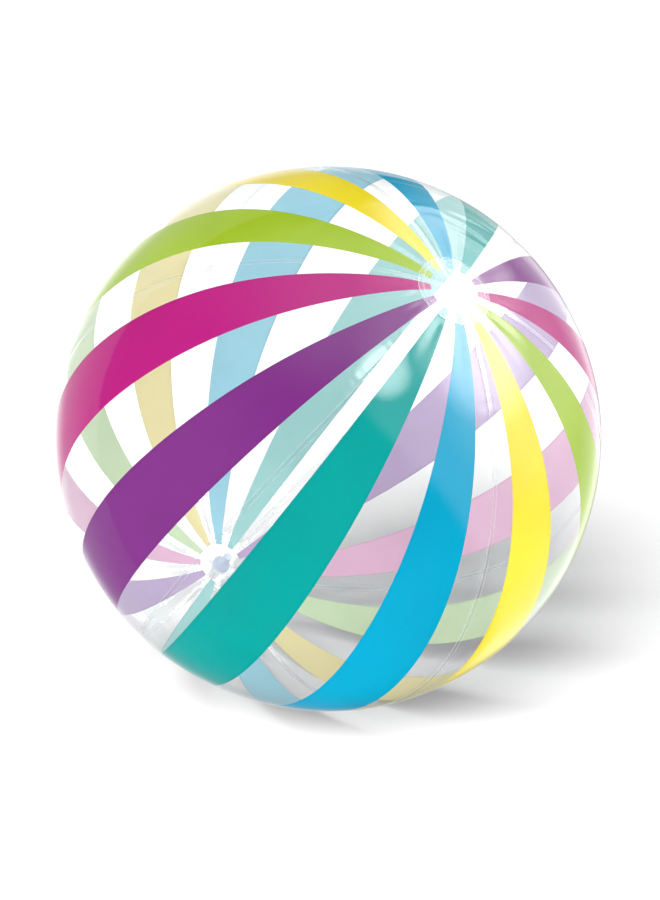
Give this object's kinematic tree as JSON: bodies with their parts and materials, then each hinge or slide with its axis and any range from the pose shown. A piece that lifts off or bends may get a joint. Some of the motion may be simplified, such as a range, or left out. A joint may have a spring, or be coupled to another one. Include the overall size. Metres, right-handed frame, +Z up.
{
  "type": "inflatable beach ball",
  "caption": "Large round inflatable ball of clear vinyl gores with printed coloured stripes, round pole patches and a push-in valve, lying on its side.",
  "frame": {"origin": "centre of the small flat at the bottom of the ball, where it rests", "axes": "+Z up; the ball's axis lies in the YZ plane, 45 degrees from upright, with the blank pole up towards -Y and the valve pole down towards +Y"},
  "size_m": [0.68, 0.68, 0.6788],
  "materials": {
    "clear_film": "clear vinyl film, high gloss",
    "ink_teal": "translucent ink on gloss film",
    "ink_blue": "translucent ink on gloss film",
    "ink_yellow": "translucent ink on gloss film",
    "ink_lime": "translucent ink on gloss film",
    "ink_magenta": "translucent ink on gloss film",
    "ink_purple": "translucent ink on gloss film",
    "valve_white": "white soft vinyl, satin",
    "valve_clear": "bluish clear soft vinyl"
  },
  "bodies": {
    "ball": {"panel_1": "clear_film", "panel_2": "clear_film", "panel_3": "clear_film", "panel_4": "clear_film", "panel_5": "clear_film", "panel_6": "clear_film", "stripe_teal_1": "ink_teal", "stripe_blue_1": "ink_blue", "stripe_yellow_2": "ink_yellow", "stripe_lime_2": "ink_lime", "stripe_magenta_3": "ink_magenta", "stripe_purple_3": "ink_purple", "stripe_teal_4": "ink_teal", "stripe_blue_4": "ink_blue", "stripe_yellow_5": "ink_yellow", "stripe_lime_5": "ink_lime", "stripe_magenta_6": "ink_magenta", "stripe_purple_6": "ink_purple", "cap_patch": "clear_film", "valve_patch": "clear_film", "valve_flange": "valve_white", "valve_sleeve": "valve_clear"},
    "stem": {"valve_stem": "valve_clear"},
    "stopper": {"plug": "valve_clear", "plug_strap": "valve_clear"},
    "flap": {"check_flap": "valve_clear"}
  },
  "joints": [
    {"name": "valve_pop", "type": "slide", "parent": "ball", "child": "stem", "axis": [0, 0.7071, -0.7071], "range_m": [0, 0.02]},
    {"name": "plug_swing", "type": "hinge", "parent": "stem", "child": "stopper", "pos_m": [0, 0.24822, 0.10336], "axis": [1, 0, 0], "range_deg": [0, 150]},
    {"name": "flap_open", "type": "hinge", "parent": "stem", "child": "flap", "pos_m": [0, 0.22675, 0.1196], "axis": [-1, 0, 0], "range_deg": [0, 50], "stiffness_Nm_per_rad": 0.0003}
  ]
}
